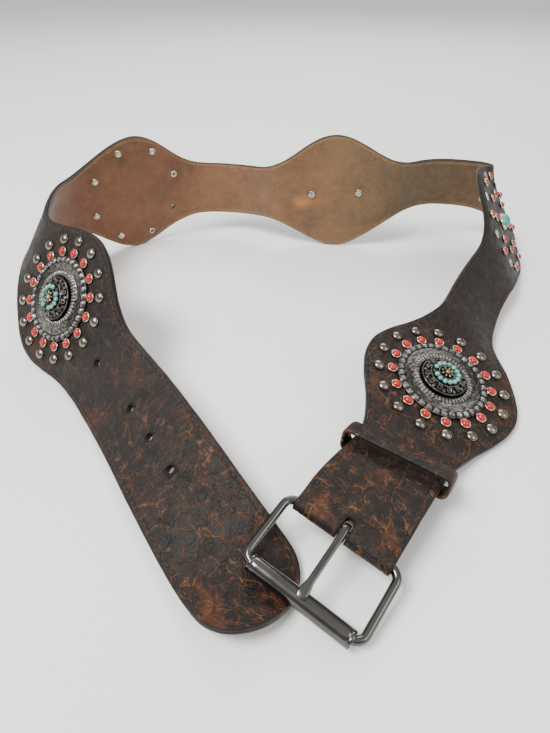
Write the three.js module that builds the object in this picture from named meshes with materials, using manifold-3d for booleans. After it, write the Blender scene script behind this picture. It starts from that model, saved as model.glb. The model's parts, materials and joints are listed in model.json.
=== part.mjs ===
// A concho belt lying unfastened on a flat surface. Millimetres, +Z up.
// The belt is laid out flat first: length along it from the buckle fold to the tip,
// distance across it, and height from its middle surface towards the outer face.
// onBelt() then carries each point of that flat pattern to its place on the bent belt.
import * as THREE from 'three';
import { mergeVertices } from 'three/addons/utils/BufferGeometryUtils.js';
import Module from 'manifold-3d';

const wasm = await Module();
wasm.setup();

const { abs, acos, cos, max, min, PI, sin, sqrt } = Math;
const degree = PI / 180;

// Belt outline
const lobeCount = 5;
const lobePitch = 193;
const buckleStrapLength = 131;
const billetLength = 242;
const lobeHalfWidth = 48.5;
const lobeHalfLength = 74;
const lobeFullness = 1.35;
const neckHalfWidth = 22;
const strapHalfWidth = 25.4;
const billetRootHalfWidth = 28;
const billetTipHalfWidth = 26.5;
const billetTaperMargin = 55;
const tipRounding = 22;
const tipSquareness = 2.2;

// Leather layers and the gap kept between neighbouring pieces
const faceThickness = 1.7;
const layerGap = 1;
const liningThickness = 1;
const clearance = 0.3;

// Buckle
const wireRadius = 2.1;
const frameHalfWidth = 29.4;
const frameDepth = 34.6;
const frameRearCorner = 3.6;
const frameFrontCorner = 3;
const frameTilt = 4 * degree;
const rollerRadius = 4.2;
const rollerEndInset = 3.4;
const prongHalfWidth = 1.7;
const prongTipHalfWidth = 2.5;
const prongThickness = 2.5;
const prongTipThickness = 2;
const prongTipLength = 6;
const prongOverhang = 1.2;
const slotHalfWidth = 3.2;
const slotReach = 6.4;
const foldStraight = 10;
const flapLength = 28;
const flapClosing = 9;

// Keeper loop
const keeperPlace = 57;
const keeperWidth = 11;
const keeperThickness = 1.8;
const keeperHalfSpan = 28;
const keeperRoom = 5.5;
const keeperCorner = 2.2;
const keeperSlack = 0.5;

// Holes for the prong, measured from the last lobe's centre towards the tip
const prongHoles = [58, 102, 127.4, 152.8];
const prongHoleRadius = 2.3;

// Conchos, with a ring of coral studs round the rim, on lobes 0, 2 and 4
const conchoLobes = [0, 2, 4];
const conchoRadius = 28.2;
const conchoScrewSpacing = 41;
const screwRadius = 1.4;
const screwHeadRadius = 3.2;
const screwHeadHeight = 1.2;
const coralCount = 16;
const coralRadius = 3.1;
const coralHeight = 3.1;
const coralRing = 31;

// Stud fields round a turquoise cabochon, on lobes 1 and 3
const fieldLobes = [1, 3];
const innerRing = 24;
const outerRing = 39.2;
const ringCount = 8;
const postRadius = 1;
const backingThickness = 0.4;
const backingMargin = 2.3;
const cabochonLength = 15;
const cabochonWidth = 12;
const cabochonHeight = 6.2;
const bezelHeight = 2.4;
const fieldFlat = 28;
const fieldRise = 0.4;

// Mesh fineness
const longStep = 14;
const shortStep = 3.5;
const turnPerStep = 11 * degree;
const beadSides = 10;
const conchoSides = 20;
const wireSides = 8;
const rollerSides = 16;

// How the belt lies. Stations count lobes: -1 is the buckle fold, 0 to 4 are the lobes'
// centres and 5 is the tip. Heading turns about +Z from +X, slope rises from level and lean
// tips the belt from standing on its edge (0) to lying with its outer face up (90).
// Held is the length kept straight before and after the station.
const route = [
  { station: -1, held: foldStraight, heading: 54, slope: 6.5, lean: 79 },
  { station: -0.6, held: 0, heading: 55, slope: -13.5, lean: 89 },
  { station: 0, held: coralRing, heading: 60, slope: 4.6, lean: 74 },
  { station: 0.35, held: 0, heading: 64, slope: 3.6, lean: 53 },
  { station: 0.65, held: 0, heading: 54, slope: 12.3, lean: 39 },
  { station: 1, held: fieldFlat, heading: 77, slope: 10.8, lean: 33 },
  { station: 1.35, held: 0, heading: 162, slope: 3.1, lean: 13 },
  { station: 1.5, held: 0, heading: 183, slope: 1.2, lean: 14 },
  { station: 1.65, held: 0, heading: 208, slope: -3.4, lean: 8 },
  { station: 2, held: coralRing, heading: 175, slope: -3.7, lean: 0 },
  { station: 2.35, held: 0, heading: 143, slope: -6.3, lean: -1 },
  { station: 2.65, held: 0, heading: 192, slope: 4, lean: -8 },
  { station: 3, held: fieldFlat, heading: 216, slope: 6.5, lean: 5 },
  { station: 3.35, held: 0, heading: 255, slope: 5.8, lean: 16 },
  { station: 3.65, held: 0, heading: 280, slope: -4.2, lean: 34 },
  { station: 4, held: coralRing, heading: 305, slope: -18.8, lean: 38 },
  { station: 4.3, held: 0, heading: 308, slope: -8, lean: 48 },
  { station: 4.55, held: 0, heading: 303, slope: -1.6, lean: 61 },
  { station: 4.8, held: 0, heading: 306, slope: -9.1, lean: 74 },
  { station: 5, held: 0, heading: 320, slope: 3.5, lean: 111 },
];

// Sizes that follow from the ones above
const lastLobe = lobeCount - 1;
const beltLength = buckleStrapLength + lastLobe * lobePitch + billetLength;
const faceTop = (faceThickness + layerGap + liningThickness) / 2;
const faceBottom = faceTop - faceThickness;
const liningTop = faceBottom - layerGap;
const liningBottom = liningTop - liningThickness;
const foldInnerRadius = wireRadius + clearance;
const foldOuterRadius = foldInnerRadius + faceThickness;
const heelBar = { along: foldOuterRadius, height: faceTop - foldOuterRadius };
const seat = faceTop + clearance;
const underside = liningBottom - clearance;

function lobeCentre(lobe) {
  return buckleStrapLength + lobe * lobePitch;
}

function lengthAt(station) {
  if (station < 0) return buckleStrapLength * (1 + station);
  if (station <= lastLobe) return lobeCentre(station);
  return lobeCentre(lastLobe) + (station - lastLobe) * billetLength;
}

// A smooth curve through knots that never overshoots them
function smoothCurve(knots) {
  const gaps = knots.slice(1).map((knot, i) => knot.at - knots[i].at);
  const rises = gaps.map((gap, i) => (knots[i + 1].value - knots[i].value) / gap);
  const tangents = knots.map((knot, i) => {
    if (i === 0) return rises[0];
    if (i === knots.length - 1) return rises[i - 1];
    if (rises[i - 1] * rises[i] <= 0) return 0;
    const before = 2 * gaps[i] + gaps[i - 1];
    const after = gaps[i] + 2 * gaps[i - 1];
    return (before + after) / (before / rises[i - 1] + after / rises[i]);
  });
  return (at) => {
    const place = min(max(at, knots[0].at), knots[knots.length - 1].at);
    let i = 0;
    while (i < gaps.length - 1 && place > knots[i + 1].at) i += 1;
    const t = (place - knots[i].at) / gaps[i];
    const risen = t * t * (3 - 2 * t);
    return knots[i].value * (1 - risen) + knots[i + 1].value * risen
      + gaps[i] * t * (1 - t) * ((1 - t) * tangents[i] - t * tangents[i + 1]);
  };
}

function routeCurve(column) {
  const knots = [];
  for (const row of route) {
    const at = lengthAt(row.station);
    const value = row[column] * degree;
    if (row.held > 0 && at > 0) knots.push({ at: at - row.held, value });
    if (row.held === 0 || at === 0) knots.push({ at, value });
    if (row.held > 0) knots.push({ at: at + row.held, value });
  }
  return smoothCurve(knots);
}

const headingAt = routeCurve('heading');
const slopeAt = routeCurve('slope');
const leanAt = routeCurve('lean');

function directionsAt(length) {
  const heading = headingAt(length);
  const slope = slopeAt(length);
  const lean = leanAt(length);
  const along = new THREE.Vector3(cos(slope) * cos(heading), cos(slope) * sin(heading), sin(slope));
  const up = new THREE.Vector3(-sin(slope) * cos(heading), -sin(slope) * sin(heading), cos(slope));
  const side = along.clone().cross(up);
  const across = up.multiplyScalar(cos(lean)).addScaledVector(side, -sin(lean));
  const out = along.clone().cross(across);
  return { along, across, out };
}

// The middle line of the belt, one point for each millimetre of its length
const spine = [new THREE.Vector3()];
for (let i = 0; i < beltLength; i += 1) {
  const half = directionsAt(i + 0.5).along;
  spine.push(spine[i].clone().add(half));
}

function spineAt(length) {
  const whole = min(max(Math.floor(length), 0), spine.length - 2);
  const step = spine[whole + 1].clone().sub(spine[whole]);
  return spine[whole].clone().addScaledVector(step, length - whole);
}

function onBelt(length, across, height) {
  const held = min(max(length, 0), beltLength);
  const directions = directionsAt(held);
  return spineAt(held)
    .addScaledVector(directions.along, length - held)
    .addScaledVector(directions.across, across)
    .addScaledVector(directions.out, height);
}

function halfWidthAt(length) {
  let swell = 0;
  for (let lobe = 0; lobe < lobeCount; lobe += 1) {
    const share = min(abs(length - lobeCentre(lobe)) / lobeHalfLength, 1);
    swell = max(swell, (0.5 * (1 + cos(PI * share))) ** lobeFullness);
  }
  let base = neckHalfWidth;
  if (length < lobeCentre(0)) base = strapHalfWidth;
  if (length > lobeCentre(lastLobe)) {
    const pastRoot = length - lobeCentre(lastLobe) - billetTaperMargin;
    const taper = pastRoot / (billetLength - 2 * billetTaperMargin);
    base = billetRootHalfWidth + (billetTipHalfWidth - billetRootHalfWidth) * min(max(taper, 0), 1);
  }
  const rounding = min(max(1 - (beltLength - length) / tipRounding, 0), 1);
  return (base + (lobeHalfWidth - base) * swell) * (1 - rounding ** tipSquareness) ** (1 / tipSquareness);
}

// Places along the belt, closer together where it turns
function stationsBetween(from, to) {
  const list = [from];
  let at = from;
  while (at < to - shortStep) {
    let step = longStep;
    const out = directionsAt(at).out;
    while (step > shortStep && acos(min(out.dot(directionsAt(at + step).out), 1)) > turnPerStep) step *= 0.8;
    at = min(at + step, to);
    list.push(at);
  }
  list[list.length - 1] = to;
  return list;
}

// The places both leathers share, with one at each end of the keeper and of every lobe's
// flat part
function beltStations() {
  const flats = route.filter((row) => row.held > 0 && row.station >= 0);
  const ends = flats.flatMap((row) => [lengthAt(row.station) - row.held, lengthAt(row.station) + row.held]);
  const keeperEnds = [keeperPlace - keeperWidth / 2, keeperPlace + keeperWidth / 2];
  const breaks = [heelBar.along, ...keeperEnds, ...ends, beltLength - tipRounding];
  const list = breaks.slice(1).flatMap((to, i) => stationsBetween(breaks[i], to).slice(0, -1));
  const tipSteps = 6;
  for (let i = 0; i <= tipSteps; i += 1) {
    const share = min(sin((i / tipSteps) * (PI / 2)), 0.99);
    list.push(beltLength - tipRounding * (1 - share));
  }
  return list;
}

const leatherStations = beltStations();

function newGeometry(positions, indices) {
  const geometry = new THREE.BufferGeometry();
  geometry.setAttribute('position', new THREE.Float32BufferAttribute(positions, 3));
  geometry.setIndex(indices);
  return geometry;
}

// A band of four corners at each row, closed at both ends. Each row gives the length and
// height of its outer and inner side, and half its width.
function ribbon(rows) {
  const positions = [];
  const indices = [];
  for (const { outer, inner, half } of rows) {
    for (const [[length, height], across] of [[outer, half], [outer, -half], [inner, -half], [inner, half]]) {
      positions.push(...onBelt(length, across, height).toArray());
    }
  }
  for (let row = 0; row < rows.length - 1; row += 1) {
    for (let corner = 0; corner < 4; corner += 1) {
      const next = (corner + 1) % 4;
      const [a, b] = [4 * row + corner, 4 * row + next];
      const [c, d] = [b + 4, a + 4];
      if (corner === 2) indices.push(a, b, d, b, c, d);
      else indices.push(a, b, c, a, c, d);
    }
  }
  const end = 4 * (rows.length - 1);
  indices.push(0, 3, 2, 0, 2, 1);
  indices.push(end, end + 1, end + 2, end, end + 2, end + 3);
  return newGeometry(positions, indices);
}

function layerRows(stations, top, bottom) {
  return stations.map((length) => (
    { outer: [length, top], inner: [length, bottom], half: halfWidthAt(length) }
  ));
}

// Like onBelt, but on the flat triangles the leather is made of
function onLeather(length, across, height) {
  const next = leatherStations.findIndex((station) => station >= length);
  if (next < 1) return onBelt(length, across, height);
  const [from, to] = [leatherStations[next - 1], leatherStations[next]];
  const [fromHalf, toHalf] = [halfWidthAt(from), halfWidthAt(to)];
  const share = (length - from) / (to - from);
  const half = fromHalf + (toHalf - fromHalf) * share;
  const diagonal = fromHalf - (fromHalf + toHalf) * share;
  const nearStart = across < diagonal;
  const weight = nearStart
    ? (across + half) / (2 * fromHalf)
    : (half - across) / (2 * toHalf);
  const corner = (station, side) => onBelt(station, side * halfWidthAt(station), height);
  const [startTop, startFoot] = [corner(from, 1), corner(from, -1)];
  const [endTop, endFoot] = [corner(to, 1), corner(to, -1)];
  if (nearStart) {
    return startTop.multiplyScalar(weight)
      .addScaledVector(startFoot, 1 - weight - share)
      .addScaledVector(endFoot, share);
  }
  return endFoot.multiplyScalar(weight)
    .addScaledVector(startTop, 1 - share)
    .addScaledVector(endTop, share - weight);
}

function bend(geometry) {
  const position = geometry.attributes.position;
  for (let i = 0; i < position.count; i += 1) {
    const point = onLeather(position.getX(i), position.getY(i), position.getZ(i));
    position.setXYZ(i, point.x, point.y, point.z);
  }
  return geometry;
}

// Manifold solid of a closed geometry, without its empty triangles
function solid(geometry) {
  const bare = geometry.clone();
  bare.deleteAttribute('normal');
  bare.deleteAttribute('uv');
  const merged = mergeVertices(bare);
  const triangles = [];
  for (let i = 0; i < merged.index.count; i += 3) {
    const [a, b, c] = [0, 1, 2].map((corner) => merged.index.getX(i + corner));
    if (a !== b && b !== c && c !== a) triangles.push(a, b, c);
  }
  return new wasm.Manifold(new wasm.Mesh({
    numProp: 3,
    vertProperties: new Float32Array(merged.attributes.position.array),
    triVerts: new Uint32Array(triangles),
  }));
}

function geometryOf(manifold) {
  const mesh = manifold.getMesh();
  return newGeometry(Array.from(mesh.vertProperties), Array.from(mesh.triVerts));
}

function unite(solids) {
  return solids.reduce((whole, piece) => whole.add(piece));
}

// A turned shape about +Z from rows of [radius, height] that start and end on the axis
function turned(profile, sides) {
  const points = profile.map(([radius, height]) => new THREE.Vector2(radius, height));
  return new THREE.LatheGeometry(points, sides).rotateX(PI / 2);
}

function pin(radius, sides, bottom, top) {
  return new THREE.CylinderGeometry(radius, radius, top - bottom, sides)
    .rotateX(PI / 2)
    .translate(0, 0, (bottom + top) / 2);
}

function punch(leather, holes) {
  return holes.reduce((rest, { at, across, radius, sides }) => {
    const cutter = pin(radius, sides, -3 * faceTop, 3 * faceTop).translate(at, across, 0);
    return rest.subtract(solid(bend(cutter)));
  }, leather);
}

function ringPlaces(lobe, radius, count) {
  return Array.from({ length: count }, (_, i) => {
    const angle = (i / count) * 2 * PI;
    return { at: lobeCentre(lobe) + radius * cos(angle), across: radius * sin(angle) };
  });
}

// Holes, each shared by the pieces that pass through it
const postHole = { radius: postRadius + 2 * clearance, sides: 3 };
const screwHole = { radius: screwRadius + clearance * sqrt(2), sides: 4 };
const prongHoleList = prongHoles.map((distance) => ({
  at: lobeCentre(lastLobe) + distance, across: 0, radius: prongHoleRadius, sides: wireSides,
}));
const screwHoleList = conchoLobes.flatMap((lobe) => [-1, 1].map((side) => ({
  at: lobeCentre(lobe) + (side * conchoScrewSpacing) / 2, across: 0, ...screwHole,
})));
const coralPlaces = (lobe) => [
  ...ringPlaces(lobe, innerRing, ringCount),
  ...ringPlaces(lobe, outerRing, ringCount),
];
const coralHoleList = fieldLobes.flatMap(coralPlaces).map((place) => ({ ...place, ...postHole }));

// Outer leather: the belt, its fold round the heel bar and the flap turned under
function faceLeather() {
  const flapStart = flapClosing + heelBar.along;
  const flapTop = faceBottom - clearance;
  const bendFoot = heelBar.height - foldInnerRadius;
  const flapSteps = 4;
  const bendSteps = 10;
  const rows = [{
    outer: [flapLength, flapTop - faceThickness], inner: [flapLength, flapTop], half: strapHalfWidth,
  }];
  for (let i = flapSteps; i > 0; i -= 1) {
    const share = i / flapSteps;
    const eased = share * share * (3 - 2 * share);
    const along = heelBar.along + (flapStart - heelBar.along) * share;
    const top = bendFoot + (flapTop - bendFoot) * eased;
    rows.push({ outer: [along, top - faceThickness], inner: [along, top], half: strapHalfWidth });
  }
  for (let i = bendSteps; i > 0; i -= 1) {
    const angle = (i / bendSteps) * PI;
    const edge = (radius) => [heelBar.along - radius * sin(angle), heelBar.height + radius * cos(angle)];
    rows.push({ outer: edge(foldOuterRadius), inner: edge(foldInnerRadius), half: strapHalfWidth });
  }
  rows.push(...layerRows(leatherStations, faceTop, faceBottom));
  const slotLength = 2 * slotReach + foldOuterRadius;
  const slot = new THREE.BoxGeometry(slotLength, 2 * slotHalfWidth, 8 * foldOuterRadius)
    .translate(heelBar.along + slotReach - slotLength / 2, 0, 0);
  const whole = solid(ribbon(rows)).subtract(solid(bend(slot)));
  return punch(whole, [...prongHoleList, ...screwHoleList, ...coralHoleList]);
}

function lining() {
  const from = flapLength + clearance;
  const stations = [from, ...leatherStations.filter((length) => length > from + shortStep)];
  const whole = solid(ribbon(layerRows(stations, liningTop, liningBottom)));
  return punch(whole, [...prongHoleList, ...screwHoleList]);
}

// Loop across the strap that holds the billet, with round corners
function keeperLoop() {
  const bottom = underside - keeperSlack;
  const top = faceTop + keeperRoom;
  const cornerSteps = 3;
  const outline = (radius) => {
    const points = [];
    for (let corner = 0; corner < 4; corner += 1) {
      const side = corner === 0 || corner === 3 ? 1 : -1;
      const level = corner < 2 ? top - keeperCorner : bottom + keeperCorner;
      for (let i = 0; i <= cornerSteps; i += 1) {
        const angle = (corner + i / cornerSteps) * (PI / 2);
        const across = side * (keeperHalfSpan - keeperCorner) + radius * cos(angle);
        points.push(new THREE.Vector2(across, level + radius * sin(angle)));
      }
    }
    return points;
  };
  const shape = new THREE.Shape(outline(keeperCorner + keeperThickness));
  shape.holes.push(new THREE.Path(outline(keeperCorner)));
  const band = new THREE.ExtrudeGeometry(shape, { depth: keeperWidth, bevelEnabled: false });
  const toBelt = new THREE.Matrix4().set(
    0, 0, 1, keeperPlace - keeperWidth / 2,
    1, 0, 0, 0,
    0, 1, 0, 0,
    0, 0, 0, 1,
  );
  return solid(bend(band.applyMatrix4(toBelt)));
}

// Concho in its own frame: +X along the belt, +Y across it, +Z out of it.
// The rows give radius as a share of the plate's and height in millimetres.
const conchoProfile = [
  { share: 0, height: 0 },
  { share: 1.02, height: 0 },
  { share: 1.02, height: 0.6 },
  { share: 1, height: 1.6 },
  { share: 0.92, height: 2.6 },
  { share: 0.84, height: 1.8 },
  { share: 0.7, height: 2.2 },
  { share: 0.66, height: 3.2 },
  { share: 0.52, height: 3.6 },
  { share: 0.46, height: 5.4 },
  { share: 0.27, height: 6.8 },
  { share: 0, height: 8.4 },
];

function coral() {
  const profile = [[0, 0], [coralRadius, 0], [0.78 * coralRadius, 0.7 * coralHeight], [0, coralHeight]];
  return turned(profile, beadSides);
}

function concho() {
  const profile = conchoProfile.map(({ share, height }) => [share * conchoRadius, seat + height]);
  const parts = [solid(turned(profile, conchoSides))];
  for (const side of [-1, 1]) {
    const x = (side * conchoScrewSpacing) / 2;
    const head = pin(screwHeadRadius, beadSides, underside - screwHeadHeight, underside);
    parts.push(solid(pin(screwRadius, 4, underside - screwHeadHeight / 2, seat + 1).translate(x, 0, 0)));
    parts.push(solid(head.translate(x, 0, 0)));
  }
  for (let i = 0; i < coralCount; i += 1) {
    const angle = (i / coralCount) * 2 * PI;
    parts.push(solid(coral().translate(coralRing * cos(angle), coralRing * sin(angle), seat)));
  }
  return unite(parts);
}

// Studs of one lobe, on posts through the outer leather to the thin backing ring that
// joins them between the two leathers
function studField(lobe) {
  const backingTop = faceBottom - (layerGap - backingThickness) / 2;
  const backingBottom = backingTop - backingThickness;
  const [hole, edge] = [innerRing - backingMargin, outerRing + backingMargin];
  const section = [[hole, -faceTop], [edge, -faceTop], [edge, faceTop], [hole, faceTop], [hole, -faceTop]];
  const ring = bend(turned(section, 16).translate(lobeCentre(lobe), 0, 0));
  const backing = solid(ribbon(layerRows(leatherStations, backingTop, backingBottom))).intersect(solid(ring));
  const base = seat + fieldRise;
  const post = pin(postRadius, 3, (backingTop + backingBottom) / 2, base + coralHeight / 3);
  const stud = geometryOf(solid(coral().translate(0, 0, base)).add(solid(post)));
  const studs = coralPlaces(lobe).map(({ at, across }) => solid(bend(stud.clone().translate(at, across, 0))));
  return unite([backing, ...studs]);
}

// Oval stone in its bezel, in a concho's frame
function turquoise() {
  const profile = [[0, 0], [1, 0], [1, bezelHeight], [0.86, bezelHeight], [0.7, 0.8 * cabochonHeight],
    [0.4, 0.96 * cabochonHeight], [0, cabochonHeight]];
  return solid(turned(profile, 16).scale(cabochonLength / 2, cabochonWidth / 2, 1).translate(0, 0, seat));
}

// Buckle pieces in the frame's own axes: the heel bar lies on X, +Y points to the
// roller and +Z out of the belt
function frameOutline() {
  const arcSteps = 4;
  const points = [];
  const corners = [
    { x: frameHalfWidth, y: 0, radius: frameRearCorner, from: -90 },
    { x: frameHalfWidth, y: frameDepth, radius: frameFrontCorner, from: 0 },
    { x: -frameHalfWidth, y: frameDepth, radius: frameFrontCorner, from: 90 },
    { x: -frameHalfWidth, y: 0, radius: frameRearCorner, from: 180 },
  ];
  for (const { x, y, radius, from } of corners) {
    const inwardX = x > 0 ? -radius : radius;
    const inwardY = y > 0 ? -radius : radius;
    for (let i = 0; i <= arcSteps; i += 1) {
      const angle = (from + (90 * i) / arcSteps) * degree;
      const normal = new THREE.Vector3(cos(angle), sin(angle), 0);
      const centre = new THREE.Vector3(x + inwardX, y + inwardY, 0).addScaledVector(normal, radius);
      points.push({ centre, normal });
    }
  }
  return points;
}

function buckleFrame() {
  const outline = frameOutline();
  const positions = [];
  const indices = [];
  outline.forEach(({ centre, normal }, ring) => {
    const next = (ring + 1) % outline.length;
    for (let side = 0; side < wireSides; side += 1) {
      const angle = ((side + 0.5) / wireSides) * 2 * PI;
      const point = centre.clone().addScaledVector(normal, wireRadius * cos(angle));
      positions.push(point.x, point.y, wireRadius * sin(angle));
      const turn = (side + 1) % wireSides;
      const [a, b] = [ring * wireSides + side, ring * wireSides + turn];
      const [c, d] = [next * wireSides + turn, next * wireSides + side];
      indices.push(a, d, c, a, c, b);
    }
  });
  return newGeometry(positions, indices);
}

function buckleRoller() {
  const boreRadius = (wireRadius + clearance) / cos(PI / rollerSides);
  const half = frameHalfWidth - rollerEndInset;
  const section = [[boreRadius, -half], [rollerRadius, -half], [rollerRadius, half], [boreRadius, half],
    [boreRadius, -half]];
  return turned(section, rollerSides).rotateY(PI / 2).translate(0, frameDepth, 0);
}

function buckleProng() {
  const curlInner = wireRadius + clearance;
  const curlOuter = curlInner + prongThickness;
  const tip = frameDepth + prongOverhang;
  const tipBottom = rollerRadius + clearance;
  const tipTop = tipBottom + prongTipThickness;
  const meetAngle = 38 * degree;
  const rootBottom = new THREE.Vector2(curlOuter * cos(meetAngle), curlOuter * sin(meetAngle));
  const flareStart = tip - 1.6 * prongTipLength;
  const flareEnd = tip - prongTipLength;
  const lowerSlope = (tipBottom - rootBottom.y) / (frameDepth - rootBottom.x);
  const lower = (y) => rootBottom.y + lowerSlope * (y - rootBottom.x);
  const upper = (y) => curlOuter + ((tipTop - curlOuter) * y) / frameDepth;
  const shape = new THREE.Shape();
  shape.moveTo(0, curlOuter);
  shape.absarc(0, 0, curlOuter, 90 * degree, meetAngle + 2 * PI, false);
  for (const y of [flareStart, flareEnd, frameDepth]) shape.lineTo(y, lower(y));
  shape.lineTo(tip, tipBottom + 0.4 * prongTipThickness);
  shape.lineTo(tip - 0.3 * prongOverhang, upper(tip));
  for (const y of [flareEnd, flareStart]) shape.lineTo(y, upper(y));
  shape.closePath();
  const bore = new THREE.Path();
  bore.absarc(0, 0, curlInner / cos(PI / 12), 0, 2 * PI, false);
  shape.holes.push(bore);
  const bar = new THREE.ExtrudeGeometry(shape, {
    depth: 2 * prongHalfWidth, bevelEnabled: false, curveSegments: 12,
  });
  bar.translate(0, 0, -prongHalfWidth);
  const toFrame = new THREE.Matrix4().set(
    0, 0, 1, 0,
    1, 0, 0, 0,
    0, 1, 0, 0,
    0, 0, 0, 1,
  );
  bar.applyMatrix4(toFrame);
  const position = bar.attributes.position;
  for (let i = 0; i < position.count; i += 1) {
    if (position.getY(i) > flareEnd - clearance) {
      position.setX(i, position.getX(i) * (prongTipHalfWidth / prongHalfWidth));
    }
  }
  return geometryOf(solid(bar));
}

// Materials
const finishes = {
  darkLeather: { color: 0x2c211b, roughness: 0.62, metalness: 0 },
  suede: { color: 0x70462a, roughness: 0.9, metalness: 0 },
  gunmetal: { color: 0x5d5c5c, roughness: 0.28, metalness: 1 },
  antiqueSilver: { color: 0x9b9a93, roughness: 0.42, metalness: 1 },
  studs: { color: 0xb3392b, roughness: 0.35, metalness: 0.2 },
  turquoise: { color: 0x4fb7ab, roughness: 0.4, metalness: 0 },
};

const belt = new THREE.Group();

function addPiece(parent, name, geometry, finish) {
  geometry.computeVertexNormals();
  const mesh = new THREE.Mesh(geometry, new THREE.MeshStandardMaterial(finishes[finish]));
  mesh.name = name;
  parent.add(mesh);
  return mesh;
}

// A group whose axes lie across, along and out of the belt at one place
function groupAt(origin, x, y, z) {
  const group = new THREE.Group();
  group.position.copy(origin);
  group.setRotationFromMatrix(new THREE.Matrix4().makeBasis(x, y, z));
  belt.add(group);
  return group;
}

function lobeGroup(lobe) {
  const { along, across, out } = directionsAt(lobeCentre(lobe));
  return groupAt(spineAt(lobeCentre(lobe)), along, across, out);
}

addPiece(belt, 'face_leather', geometryOf(faceLeather()), 'darkLeather');
addPiece(belt, 'lining', geometryOf(lining()), 'suede');
addPiece(belt, 'keeper_loop', geometryOf(keeperLoop()), 'darkLeather');

for (const lobe of conchoLobes) {
  addPiece(lobeGroup(lobe), `concho_${lobeCount - lobe}`, geometryOf(concho()), 'antiqueSilver');
}
for (const lobe of fieldLobes) {
  addPiece(belt, `stud_field_${lobeCount - lobe}`, geometryOf(studField(lobe)), 'studs');
  addPiece(lobeGroup(lobe), `turquoise_${lobeCount - lobe}`, geometryOf(turquoise()), 'turquoise');
}

const atFold = directionsAt(0);
const forward = atFold.along.clone()
  .multiplyScalar(-cos(frameTilt))
  .addScaledVector(atFold.out, -sin(frameTilt));
const frameUp = atFold.across.clone().cross(forward);
const buckle = groupAt(onBelt(heelBar.along, 0, heelBar.height), atFold.across, forward, frameUp);
addPiece(buckle, 'buckle_frame', buckleFrame(), 'gunmetal');
addPiece(buckle, 'buckle_prong', buckleProng(), 'gunmetal');
addPiece(buckle, 'buckle_roller', buckleRoller(), 'gunmetal');

// The origin is the middle of the footprint, on the surface the belt lies on
const bounds = new THREE.Box3().setFromObject(belt, true);
const middle = bounds.getCenter(new THREE.Vector3());
belt.position.set(-middle.x, -middle.y, -bounds.min.z);

export default belt;
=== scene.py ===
import json
import math

import bpy
import numpy as np
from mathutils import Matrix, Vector, noise


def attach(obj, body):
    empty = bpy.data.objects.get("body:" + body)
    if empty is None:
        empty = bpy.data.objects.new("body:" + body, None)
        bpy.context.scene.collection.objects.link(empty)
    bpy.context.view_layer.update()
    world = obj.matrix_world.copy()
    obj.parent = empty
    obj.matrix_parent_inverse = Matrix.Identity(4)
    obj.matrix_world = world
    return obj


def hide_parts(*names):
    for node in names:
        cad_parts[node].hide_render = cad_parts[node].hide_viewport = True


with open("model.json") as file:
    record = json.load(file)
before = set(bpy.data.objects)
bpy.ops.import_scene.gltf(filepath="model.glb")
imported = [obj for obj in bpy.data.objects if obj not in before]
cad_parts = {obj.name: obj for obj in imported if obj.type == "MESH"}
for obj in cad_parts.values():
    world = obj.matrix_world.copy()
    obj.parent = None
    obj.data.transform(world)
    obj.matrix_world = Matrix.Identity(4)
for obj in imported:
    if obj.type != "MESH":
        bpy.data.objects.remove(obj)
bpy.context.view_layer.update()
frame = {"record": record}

# Sizes in millimetres. Points are turned into metres when a mesh is made.
MM = 0.001

# Belt outline
LOBE_PITCH = 193.0
STRAP_LENGTH = 131.0
BILLET_LENGTH = 242.0
LOBES = 5
LOBE_HALF_WIDTH = 48.5
LOBE_HALF_LENGTH = 74.0
LOBE_FULLNESS = 1.35
NECK_HALF_WIDTH = 22.0
STRAP_HALF_WIDTH = 25.4
BILLET_ROOT = 28.0
BILLET_TIP = 26.5
TAPER_MARGIN = 55.0
TIP_ROUNDING = 22.0
TIP_SQUARENESS = 2.2
LAST_LOBE = STRAP_LENGTH + (LOBES - 1) * LOBE_PITCH
BELT_LENGTH = LAST_LOBE + BILLET_LENGTH

# Layers
FACE_THICKNESS = 1.7
FACE_TOP = 1.85
FACE_BOTTOM = FACE_TOP - FACE_THICKNESS
LINING_BOTTOM = -1.85
CLEARANCE = 0.3
SEAM = -0.35
HALF_SEAM = 0.02
SEAT = FACE_TOP + CLEARANCE

# Buckle
WIRE = 2.1
FRAME_HALF = 29.4
FRAME_DEPTH = 34.6
REAR_CORNER = 5.2
FRONT_CORNER = 5.0
FRAME_TILT = math.radians(4)
ROLLER = 4.2
ROLLER_HALF = 26.0
FOLD_INNER = WIRE + CLEARANCE
FOLD_OUTER = FOLD_INNER + FACE_THICKNESS
BAR_HEIGHT = FACE_TOP - FOLD_OUTER
SLOT_HALF = 2.4
SLOT_REACH = 6.9
FOLD_STRAIGHT = 10.0
FLAP_LENGTH = 28.0
FLAP_CLOSING = 9.0

# Keeper
KEEPER_PLACE = 57.0
KEEPER_WIDTH = 11.0
KEEPER_THICKNESS = 1.8
KEEPER_HALF = 28.0
KEEPER_ROOM = 5.5
KEEPER_CORNER = 2.2
KEEPER_SLACK = 0.5

# Holes, conchos and studs
PRONG_HOLES = (58.0, 102.0, 127.4, 152.8)
PRONG_HOLE = 2.3
CONCHO_LOBES = (0, 2, 4)
CONCHO = 28.2
SCREW_SPACING = 41.0
CORAL = 3.1
CORAL_RING = 31.0
DOME_RING = 39.2
FIELD_LOBES = (1, 3)
INNER_RING = 24.0
OUTER_RING = 39.2
MISSING_RIVET = (3, 4)

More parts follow.
